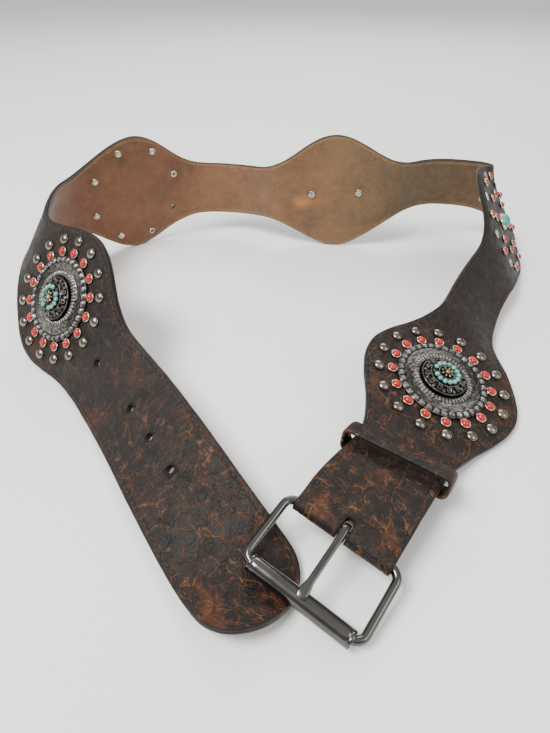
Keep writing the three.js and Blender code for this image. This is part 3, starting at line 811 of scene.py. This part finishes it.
def keeper():
    bottom = LINING_BOTTOM - CLEARANCE - KEEPER_SLACK
    top = FACE_TOP + KEEPER_ROOM
    corner_steps = 6
    loop = []
    for corner in range(4):
        side = 1 if corner in (0, 3) else -1
        level = top - KEEPER_CORNER if corner < 2 else bottom + KEEPER_CORNER
        for i in range(corner_steps + 1):
            angle = (corner + i / corner_steps) * math.pi / 2
            normal = (math.cos(angle), math.sin(angle))
            loop.append((side * (KEEPER_HALF - KEEPER_CORNER), level, normal))
    half = KEEPER_WIDTH / 2
    section = [(-half, 0.4), (-half + 0.35, 0.9), (-half + 1.2, 1.0), (0, 1.05), (half - 1.2, 1.0),
               (half - 0.35, 0.9), (half, 0.4), (half - 0.2, 0.05), (0, 0.0), (-half + 0.2, 0.05)]
    dense = []
    for here, after in zip(loop, loop[1:] + loop[:1]):
        dense.append(here)
        distance = math.hypot(here[0] - after[0], here[1] - after[1])
        extra = int(distance / 4)
        for k in range(1, extra):
            share = k / extra
            dense.append((
                here[0] + (after[0] - here[0]) * share, here[1] + (after[1] - here[1]) * share, here[2]
            ))
    points = []
    flat = []
    for x, y, (nx, ny) in dense:
        sag = 0.25 * noise.noise(Vector((x * 0.1, y * 0.1, 5.0)))
        for along, depth in section:
            reach = KEEPER_CORNER + KEEPER_THICKNESS * depth + sag
            points.append(on_belt(KEEPER_PLACE + along, x + nx * reach, y + ny * reach))
            flat.append(((KEEPER_PLACE + along) * MM, (x + y) * MM, 0.77))
    size = len(section)
    rows = len(dense)
    faces = []
    for row in range(rows):
        for k in range(size):
            a = row * size + k
            b = row * size + (k + 1) % size
            c = (row + 1) % rows * size + (k + 1) % size
            d = (row + 1) % rows * size + k
            faces.append((a, d, c, b))
    pile = Pile()
    pile.add(np.array(points), faces)
    piece = pile.make("keeper_band", "root", [LEATHER])
    attribute = piece.data.attributes.new("flat", "FLOAT_VECTOR", "POINT")
    attribute.data.foreach_set("vector", np.array(flat).ravel())
    attribute = piece.data.attributes.new("rim", "FLOAT", "POINT")
    attribute.data.foreach_set("value", np.full(len(points), 0.3))
    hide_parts("keeper_loop")


keeper()


# Studs

def add_coral(pile, origin, x, y, z, metal_slot, stone_slot):
    """A coral cabochon in a bright cup."""
    shares = ((0, 0), (0.95, 0), (1.04, 0.3), (1.05, 0.9), (0.98, 1.3), (0.86, 1.35), (0.76, 1.0), (0, 0.9))
    cup = [(share * CORAL, height) for share, height in shares]
    pile.add(*with_place(revolve(cup, 28), origin, x, y, z), metal_slot)
    gem = [(0.79 * CORAL * math.cos(a), 0.95 + 2.0 * math.sin(a)) for a in np.linspace(0, 1.45, 8)]
    pile.add(*with_place(revolve([(0, 0.8), *gem, (0, 2.96)], 24), origin, x, y, z), stone_slot)


def with_place(shape, origin, x, y, z):
    points, faces = shape
    return placed(points, origin, x, y, z), faces


def add_dome(pile, origin, x, y, z, radius, height, slot):
    profile = [(0, 0), (0.96 * radius, 0), (radius, 0.25)]
    rise = height - 0.35
    profile += [(radius * math.cos(a), 0.35 + rise * math.sin(a)) for a in np.linspace(0.15, 1.4, 7)]
    pile.add(*with_place(revolve(profile + [(0, height)], 24), origin, x, y, z), slot)


def add_eyelet(pile, origin, x, y, z, radius, hole, slot):
    profile = [(hole, -1.2), (radius, 0.0), (1.02 * radius, 0.3), (0.85 * radius, 0.8), (0.62 * radius, 0.85),
               (hole * 1.15, 0.45), (hole, -0.2), (hole, -1.2)]
    pile.add(*with_place(revolve(profile, 24), origin, x, y, z), slot)


def outer_domes():
    pile = Pile()
    for lobe in CONCHO_LOBES:
        for length, across in ring_spots(lobe, DOME_RING, 16):
            add_dome(pile, *seat_at(length, across, FACE_TOP - 0.05), 3.5, 2.5, 0)
    piece = pile.make("outer_domes", "root", [DARK_NICKEL])


outer_domes()


def stud_field(lobe):
    pile = Pile()
    for radius in (INNER_RING, OUTER_RING):
        for length, across in ring_spots(lobe, radius, 8):
            add_coral(pile, *seat_at(length, across, SEAT), 0, 1)
            foot = FACE_BOTTOM - SEAT
            post = revolve([(0, foot), (1.0, foot), (1.0, 0.2), (0, 0.2)], 10)
            pile.add(*with_place(post, *seat_at(length, across, SEAT)), 0)
    piece = pile.make(f"coral_studs_{LOBES - lobe}", "root", [STEEL, CORAL_RED])
    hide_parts(f"stud_field_{LOBES - lobe}")
    rivets = Pile()
    for index, (length, across) in enumerate(ring_spots(lobe, OUTER_RING, 8, 0.5)):
        add_eyelet(rivets, *seat_at(length, across, FACE_TOP), 3.3, 1.25, 0)
        if (lobe, index) == MISSING_RIVET:
            continue
        origin, x, y, z = seat_at(length, across, LINING_BOTTOM)
        if index in (3, 5):
            add_eyelet(rivets, origin, x, -y, -z, 3.0, 1.1, 1)
        else:
            add_dome(rivets, origin, x, -y, -z, 3.1, 1.9, 1)
    piece = rivets.make(f"rivets_{LOBES - lobe}", "root", [STEEL, STEEL])


for field_lobe in FIELD_LOBES:
    stud_field(field_lobe)


def cabochon(lobe):
    """An oval turquoise in a beaded bezel."""
    pile = Pile()
    origin, x, y, z = seat_at(lobe_centre(lobe), 0.0, SEAT)
    half = 7.5
    oval = 0.8
    shares = ((0, 0), (0.98, 0), (1, 0.3), (0.96, 1.9), (0.9, 2.2), (0.86, 2.0), (0.86, 1.2), (0, 1.2))
    bezel = [(share * half, height) for share, height in shares]
    pile.add(*with_place(revolve(bezel, 48, oval), origin, x, y, z), 0)
    gem = [(0.88 * half * math.cos(a), 1.6 + 4.7 * math.sin(a)) for a in np.linspace(0, 1.5, 12)]
    pile.add(*with_place(revolve([(0, 1.1), *gem, (0, 6.3)], 48, oval), origin, x, y, z), 1)
    for i in range(34):
        angle = 2 * math.pi * i / 34
        bead, faces = revolve([(0, -0.55), (0.42, -0.35), (0.55, 0), (0.42, 0.35), (0, 0.55)], 8)
        bead = bead + np.array([1.02 * half * math.cos(angle), 1.02 * oval * half * math.sin(angle), 0.5])
        pile.add(placed(bead, origin, x, y, z), faces, 0)
    piece = pile.make(f"cabochon_{LOBES - lobe}", "root", [STEEL, TURQUOISE])
    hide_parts(f"turquoise_{LOBES - lobe}")


for field_lobe in FIELD_LOBES:
    cabochon(field_lobe)


# Conchos

GADROONS = 35
RIDGES = 50
SEEDS = 14
SEED_GAPS = {0: (4,), 2: (6,), 4: (3, 11)}


def bulge(value):
    """Half round between 0 and 1."""
    value = np.clip(value, 0, 1)
    return np.sqrt(np.maximum(1 - (2 * value - 1) ** 2, 0))


def concho_height(share, angle, seed):
    """Height of the concho's face and how polished it is, by share of its radius and angle."""
    gadroon = bulge((angle * GADROONS / (2 * np.pi)) % 1.0) ** 1.6
    ridge = bulge((angle * RIDGES / (2 * np.pi)) % 1.0) ** 1.5
    broad_dents = np.sin(angle * 11 + seed) * np.sin(share * 47)
    fine_dents = np.sin(angle * 29 + 2 * seed) * np.sin(share * 71)
    dents = broad_dents + fine_dents
    height = 1.45 + 0.07 * dents
    polish = 0.62 + 0.16 * dents + 0.25 * np.sin(2 * angle + seed)
    rim = np.clip((share - 0.84) / 0.16, 0, 1)
    arch = np.sin(np.pi * rim ** 0.75)
    in_rim = share > 0.84
    height = np.where(in_rim, 1.2 + arch * (0.35 + 1.15 * gadroon), height)
    polish = np.where(in_rim, 0.05 + 0.95 * gadroon * arch + 0.3 * (share > 0.985), polish)
    in_ridge = (share > 0.52) & (share < 0.68)
    slope = np.clip((0.68 - share) / 0.16, 0, 1)
    lift = np.sin(np.pi * np.clip(slope * 0.82, 0, 1)) ** 0.6
    height = np.where(in_ridge, 1.45 + lift * (0.75 + 0.7 * ridge), height)
    polish = np.where(in_ridge, 0.08 + 0.9 * ridge * lift, polish)
    inside = share <= 0.52
    height = np.where(inside, 1.5 + 2.2 * np.cos(share / 0.52 * np.pi / 2), height)
    polish = np.where(inside, 0.05, polish)
    return height, np.clip(polish, 0, 1)


def add_ring(pile, polish, path, radius, sides, slot, shine, frame_axes):
    points, faces = tube(path, radius, sides, closed=True)
    pile.add(placed(points, *frame_axes), faces, slot)
    polish.append(np.full(len(points), shine))


def concho(lobe):
    pile = Pile()
    polish = []
    axes = seat_at(lobe_centre(lobe), 0.0, SEAT)
    sides = 280
    inner_shares = [np.linspace(0.02, 0.5, 8), np.linspace(0.52, 0.68, 11)]
    outer_shares = [np.linspace(0.69, 0.83, 8), np.linspace(0.842, 1.0, 12)]
    shares = np.concatenate(inner_shares + outer_shares)
    angles = np.arange(sides) * 2 * np.pi / sides
    share, angle = np.meshgrid(shares, angles, indexing="ij")
    height, shine = concho_height(share, angle, lobe)
    gadroon = bulge((angle * GADROONS / (2 * np.pi)) % 1.0)
    reach = share * CONCHO * (1 - 0.022 * (1 - gadroon) * np.clip((share - 0.9) / 0.1, 0, 1))
    top = np.stack([reach * np.cos(angle), reach * np.sin(angle), height], -1).reshape(-1, 3)
    rows = len(shares)
    edge = top[-sides:] * [1, 1, 0] + [0, 0, 0.35]
    under = edge * [0.97, 0.97, 0]
    points = np.vstack([[[0, 0, 3.7]], top, edge, under, [[0, 0, 0]]])
    faces = [(0, 1 + i, 1 + (i + 1) % sides) for i in range(sides)]
    for row in range(rows + 1):
        for i in range(sides):
            a = 1 + row * sides + i
            b = 1 + row * sides + (i + 1) % sides
            faces.append((a, a + sides, b + sides, b))
    last = 1 + (rows + 1) * sides
    faces += [(last + (i + 1) % sides, last + i, len(points) - 1) for i in range(sides)]
    pile.add(placed(points, *axes), faces, 0)
    polish.append(np.concatenate([[0.1], shine.ravel(), np.full(2 * sides, 0.3), [0.3]]))

    # The raised openwork boss: a rim wire, scrolls, a ring of seed stones and a flower
    def boss_height(radius):
        return 3.2 + 4.6 * math.cos(min(radius / 14.0, 1.0) * math.pi / 2) ** 0.8

    for radius, wire, shine_value in ((13.5, 0.6, 0.5), (9.2, 0.34, 0.6), (4.9, 0.36, 0.7)):
        path = ring_path(radius, 60, (0, 0, boss_height(radius)))
        add_ring(pile, polish, path, wire, 8, 0, shine_value, axes)
    scrolls = 12
    for i in range(scrolls):
        base = 2 * math.pi * i / scrolls
        for flip, middle, size in ((1, 11.2, 1.75), (-1, 12.3, 0.8)):
            turns = np.linspace(0, 1.65 * 2 * math.pi, 30)
            spiral = size * (0.3 + 0.7 * turns / turns[-1])
            offset = 0.0 if flip > 0 else math.pi / scrolls
            u = middle + spiral * np.cos(turns)
            v = flip * spiral * np.sin(turns)
            ca, sa = math.cos(base + offset), math.sin(base + offset)
            lift = [boss_height(math.hypot(uu, vv)) + 0.15 for uu, vv in zip(u, v)]
            path = np.stack([u * ca - v * sa, u * sa + v * ca, lift], -1)
            points, faces = tube(path, 0.33, 6)
            pile.add(placed(points, *axes), faces, 0)
            polish.append(np.full(len(points), 0.6))
    dome = [(r, boss_height(r) - 0.35) for r in (13.2, 11, 9, 7, 5, 3, 1.5)]
    points, faces = revolve([(0, 2.0), (13.4, 2.0), *dome, (0, boss_height(0) - 0.35)], 48)
    pile.add(placed(points, *axes), faces, 0)
    polish.append(np.full(len(points), 0.08))
    missing = SEED_GAPS[lobe]
    for i in range(SEEDS):
        a = 2 * math.pi * (i + 0.3) / SEEDS
        seat = np.array([7.0 * math.cos(a), 7.0 * math.sin(a), boss_height(7.0) - 0.1])
        points, faces = revolve([(0, -0.3), (1.3, -0.3), (1.35, 0.15), (1.1, 0.25), (0, 0.1)], 12)
        pile.add(placed(points + seat, *axes), faces, 0)
        polish.append(np.full(len(points), 0.5))
        if i in missing:
            continue
        seed = revolve([(0, 0), (1.3, 0.1), (1.55, 0.7), (1.2, 1.5), (0.6, 1.85), (0, 1.9)], 12)
        points = seed[0] * [1, 1, 0.85 + 0.1 * (i % 3)]
        pile.add(placed(points + seat, *axes), seed[1], 1)
        polish.append(np.full(len(points), 1.0))
    petals = 8
    for i in range(petals):
        a = 2 * math.pi * i / petals
        points, faces = revolve([(0, -0.4), (1.2, -0.1), (1.0, 0.5), (0.5, 0.85), (0, 0.95)], 12, 0.62)
        turned = np.stack([points[:, 0] * math.cos(a) - points[:, 1] * math.sin(a),
                           points[:, 0] * math.sin(a) + points[:, 1] * math.cos(a), points[:, 2]], -1)
        pile.add(placed(turned + [2.9 * math.cos(a), 2.9 * math.sin(a), boss_height(2.9)], *axes), faces, 0)
        polish.append(np.full(len(points), 0.85))
    points, faces = revolve([(0, -0.5), (1.5, -0.3), (1.6, 0.3), (1.0, 1.1), (0, 1.5)], 16)
    pile.add(placed(points + [0, 0, boss_height(0)], *axes), faces, 2)
    polish.append(np.full(len(points), 1.0))

    for side in (-1, 1):
        foot = LINING_BOTTOM - SEAT - 0.4
        shape = revolve([(0, foot), (1.4, foot), (1.4, 0.5), (0, 0.5)], 12)
        points = shape[0] + [side * SCREW_SPACING / 2, 0, 0]
        pile.add(placed(points, *axes), shape[1], 0)
        polish.append(np.full(len(points), 0.4))
        head = revolve([(0, 0), (3.1, 0), (3.2, -0.5), (2.7, -1.1), (1.2, -1.25), (0, -1.25)][::-1], 24)
        points = head[0] + [side * SCREW_SPACING / 2, 0, LINING_BOTTOM - SEAT]
        pile.add(placed(points, *axes), head[1], 3)
        polish.append(np.full(len(points), 0.8))
        for turn in (0.5, 0.5 + math.pi / 2):
            bar = np.array([(-2.3, -0.28, 0), (2.3, -0.28, 0), (2.3, 0.28, 0), (-2.3, 0.28, 0)])
            low = bar + [0, 0, -1.3]
            high = bar + [0, 0, -1.2]
            block = np.vstack([low, high])
            spun = np.stack([block[:, 0] * math.cos(turn) - block[:, 1] * math.sin(turn),
                             block[:, 0] * math.sin(turn) + block[:, 1] * math.cos(turn), block[:, 2]], -1)
            spun += [side * SCREW_SPACING / 2, 0, LINING_BOTTOM - SEAT]
            bar_sides = [(i, (i + 1) % 4, 4 + (i + 1) % 4, 4 + i) for i in range(4)]
            bar_faces = [(0, 3, 2, 1), (4, 5, 6, 7)] + bar_sides
            pile.add(placed(spun, *axes), bar_faces, 4)
            polish.append(np.full(8, 0.1))

    finishes = [SILVER, PALE_TURQUOISE, BRASS, STEEL, DARK_NICKEL]
    piece = pile.make(f"silver_concho_{LOBES - lobe}", "root", finishes)
    attribute = piece.data.attributes.new("polish", "FLOAT", "POINT")
    attribute.data.foreach_set("value", np.concatenate(polish))
    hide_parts(f"concho_{LOBES - lobe}")

    corals = Pile()
    for length, across in ring_spots(lobe, CORAL_RING, 16):
        add_coral(corals, *seat_at(length, across, SEAT - 0.2), 0, 1)
    piece = corals.make(f"coral_ring_{LOBES - lobe}", "root", [STEEL, CORAL_RED])


for concho_lobe in CONCHO_LOBES:
    concho(concho_lobe)


# Buckle, in its own axes: X along the heel bar, Y to the roller, Z out

fold_along, fold_across, fold_out = directions(np.array(0.0))
FORWARD = -math.cos(FRAME_TILT) * fold_along - math.sin(FRAME_TILT) * fold_out
BUCKLE_AXES = (on_belt(FOLD_OUTER, 0.0, BAR_HEIGHT), fold_across, FORWARD, np.cross(fold_across, FORWARD))


def buckle_frame():
    steps = 9
    path = []
    rear = ((1, 0, REAR_CORNER, -90), (-1, 0, REAR_CORNER, 180))
    front_corners = ((1, 1, FRONT_CORNER, 0), (-1, 1, FRONT_CORNER, 90))
    for side, front, radius, start in (rear[0], *front_corners, rear[1]):
        x = side * (FRAME_HALF - radius)
        y = FRAME_DEPTH - radius if front else radius
        for i in range(steps + 1):
            angle = math.radians(start + 90 * i / steps)
            path.append((x + radius * math.cos(angle), y + radius * math.sin(angle), 0))
    dense = []
    for here, after in zip(path, path[1:] + path[:1]):
        dense.append(here)
        gap = math.dist(here, after)
        for k in range(1, int(gap / 3)):
            share = k / int(gap / 3)
            dense.append(tuple(a + (b - a) * share for a, b in zip(here, after)))
    points, faces = tube(dense, WIRE, 20, closed=True)
    pile = Pile()
    pile.add(placed(points, *BUCKLE_AXES), faces)
    piece = pile.make("frame_wire", "frame", [GUNMETAL])
    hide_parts("buckle_frame")


def buckle_roller():
    bore = WIRE + 0.35
    half = ROLLER_HALF
    profile = [(bore, -half), (ROLLER - 0.35, -half), (ROLLER - 0.05, -half + 0.3), (ROLLER, -half + 0.8),
               (ROLLER, -half + 1.5), (ROLLER - 0.14, -half + 1.7), (ROLLER, -half + 1.9)]
    profile += [(ROLLER, x) for x in np.linspace(-half + 4, half - 4, 9)]
    profile += [(radius, -x) for radius, x in reversed(profile[:7])]
    points, faces = revolve(profile + [(bore, -half)], 40)
    turned = np.stack([points[:, 2], points[:, 1], -points[:, 0]], -1) + [0, FRAME_DEPTH, 0]
    pile = Pile()
    pile.add(placed(turned, *BUCKLE_AXES), faces)
    piece = pile.make("roller_tube", "roller", [GUNMETAL], sharp=40)
    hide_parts("buckle_roller")


def buckle_prong():
    thickness = 2.5
    curl = WIRE + CLEARANCE + thickness / 2
    rows = []
    for angle in np.radians(np.linspace(385, 90, 26)):
        rows.append((curl * math.cos(angle), curl * math.sin(angle), 1.7, thickness / 2))
    tip = FRAME_DEPTH + 1.2
    tip_height = ROLLER + CLEARANCE + 1.0
    for y in np.linspace(2, tip, 22):
        share = y / FRAME_DEPTH
        flare = np.clip((y - (tip - 9)) / 5, 0, 1)
        width = 1.7 + 0.8 * flare * flare * (3 - 2 * flare)
        rounding = np.clip((y - (tip - 1.6)) / 1.6, 0, 1)
        width *= math.sqrt(1 - 0.55 * rounding ** 2)
        depth = thickness / 2 - 0.25 * share
        depth *= 1 - 0.45 * rounding
        rows.append((y, curl + (tip_height - curl) * min(share, 1.0) - 0.35 * rounding, width, depth))
    sides = 20
    middles = np.array([(0, y, z) for y, z, width, depth in rows])
    ahead = np.gradient(middles, axis=0)
    ahead /= np.linalg.norm(ahead, axis=1)[:, None]
    points = []
    for middle, direction, (y, z, width, depth) in zip(middles, ahead, rows):
        top = np.cross((1, 0, 0), direction)
        for k in range(sides):
            angle = 2 * math.pi * k / sides
            u = math.copysign(abs(math.cos(angle)) ** 0.6, math.cos(angle)) * width
            v = math.copysign(abs(math.sin(angle)) ** 0.6, math.sin(angle)) * depth
            points.append(middle + np.array([u, 0, 0]) + top * v)
    faces = []
    for i in range(len(rows) - 1):
        for k in range(sides):
            a = i * sides + k
            b = i * sides + (k + 1) % sides
            faces.append((a, a + sides, b + sides, b))
    faces.append(tuple(range(sides)))
    faces.append(tuple(reversed(range((len(rows) - 1) * sides, len(rows) * sides))))
    pile = Pile()
    pile.add(placed(np.array(points), *BUCKLE_AXES), faces)
    piece = pile.make("prong_bar", "prong", [GUNMETAL], sharp=50)
    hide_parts("buckle_prong")


buckle_frame()
buckle_roller()
buckle_prong()


# Floor, lights and camera

def stage():
    size = 12.0
    mesh = bpy.data.meshes.new("floor")
    floor_corners = [(-size, -size, 0), (size, -size, 0), (size, size, 0), (-size, size, 0)]
    mesh.from_pydata(floor_corners, [], [(0, 1, 2, 3)])
    material = new_material("pale_floor", roughness=0.9, color=(0.84, 0.83, 0.815))
    n = Nodes(material)
    tone = n.ramp(n.noise(n.place(), 3, 2), (0.3, (0.83, 0.825, 0.81)), (0.7, (0.86, 0.855, 0.84)))
    n.link(tone, n.shader.inputs["Base Color"])
    mesh.materials.append(material)
    floor = bpy.data.objects.new("floor", mesh)
    bpy.context.scene.collection.objects.link(floor)


def area_light(name, place, target, size, power):
    light = bpy.data.lights.new(name, "AREA")
    light.shape = "RECTANGLE"
    light.size = size[0]
    light.size_y = size[1]
    light.energy = power
    lamp = bpy.data.objects.new(name, light)
    lamp.location = place
    lamp.rotation_euler = (Vector(target) - Vector(place)).to_track_quat("-Z", "Y").to_euler()
    bpy.context.scene.collection.objects.link(lamp)


def camera():
    data = bpy.data.cameras.new("camera")
    data.sensor_fit = "VERTICAL"
    data.sensor_height = 36
    data.lens = 26.28
    data.clip_start = 0.01
    view = bpy.data.objects.new("camera", data)
    view.location = (-0.01484, -0.2967, 0.22552)
    view.rotation_euler = (math.radians(90 - 38.9), 0, 0)
    bpy.context.scene.collection.objects.link(view)
    bpy.context.scene.camera = view


def studio():
    """Light from all round, brighter from above, with a dark band near the horizon."""
    world = bpy.data.worlds.new("studio")
    world.use_nodes = True
    tree = world.node_tree
    direction = tree.nodes.new("ShaderNodeTexCoord").outputs["Generated"]
    split = tree.nodes.new("ShaderNodeSeparateXYZ")
    tree.links.new(direction, split.inputs[0])
    ramp = tree.nodes.new("ShaderNodeValToRGB")
    elements = ramp.color_ramp.elements
    for i, (position, grey) in enumerate(((0.0, 0.9), (0.22, 0.75), (0.45, 0.3), (0.8, 1.0))):
        element = elements[i] if i < 2 else elements.new(position)
        element.position = position
        element.color = (grey, grey, grey, 1)
    tree.links.new(split.outputs[2], ramp.inputs[0])
    tree.links.new(ramp.outputs[0], tree.nodes["Background"].inputs["Color"])
    tree.nodes["Background"].inputs["Strength"].default_value = 1.0
    bpy.context.scene.world = world


stage()
area_light("key", (-0.7, -0.4, 1.3), (0, 0, 0), (0.7, 0.5), 34)
area_light("fill", (1.1, -0.7, 1.0), (0, 0, 0.05), (1.0, 0.8), 9)
area_light("back", (0.2, 1.3, 1.1), (0, 0.1, 0.05), (1.2, 0.5), 14)
studio()
camera()
